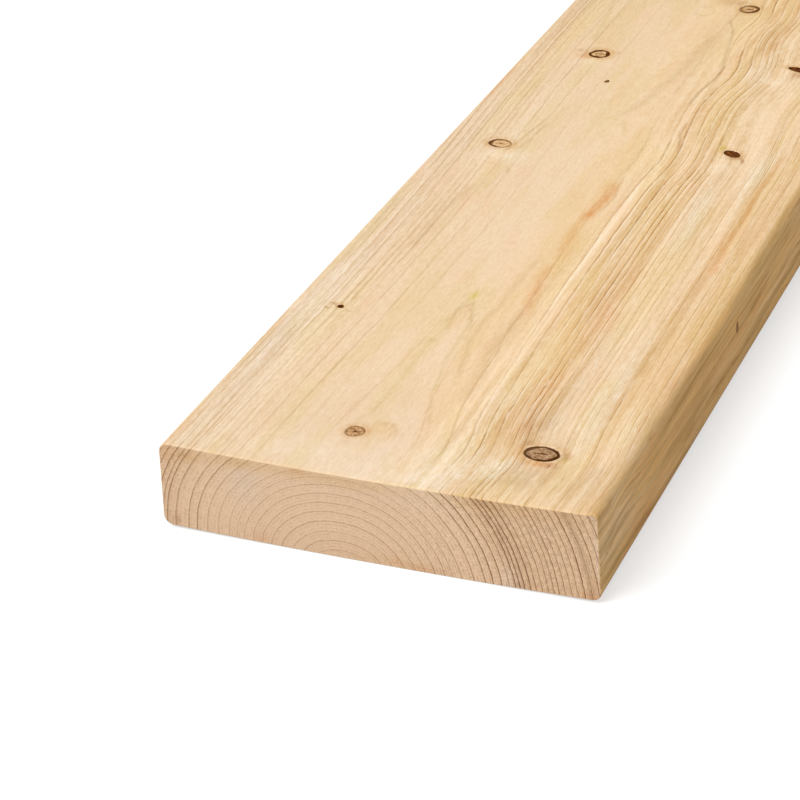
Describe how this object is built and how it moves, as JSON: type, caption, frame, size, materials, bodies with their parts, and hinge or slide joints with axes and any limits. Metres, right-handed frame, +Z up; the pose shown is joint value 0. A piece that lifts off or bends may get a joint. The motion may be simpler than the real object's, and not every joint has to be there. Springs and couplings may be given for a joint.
{
  "type": "timber lumber plank",
  "caption": "Long dressed softwood plank with eased edges, square-cut ends and a slight cup, for framing, decking or shelving.",
  "frame": {"origin": "middle of the underside, half way along the plank", "axes": "+X across the width, +Y along the grain, +Z up through the thickness, out of the bark-side face"},
  "size_m": [0.1848, 2.438, 0.0392],
  "materials": {
    "planed_wood": "planed bare softwood with knots, satin"
  },
  "bodies": {
    "root": {"plank": "planed_wood"}
  },
  "joints": []
}
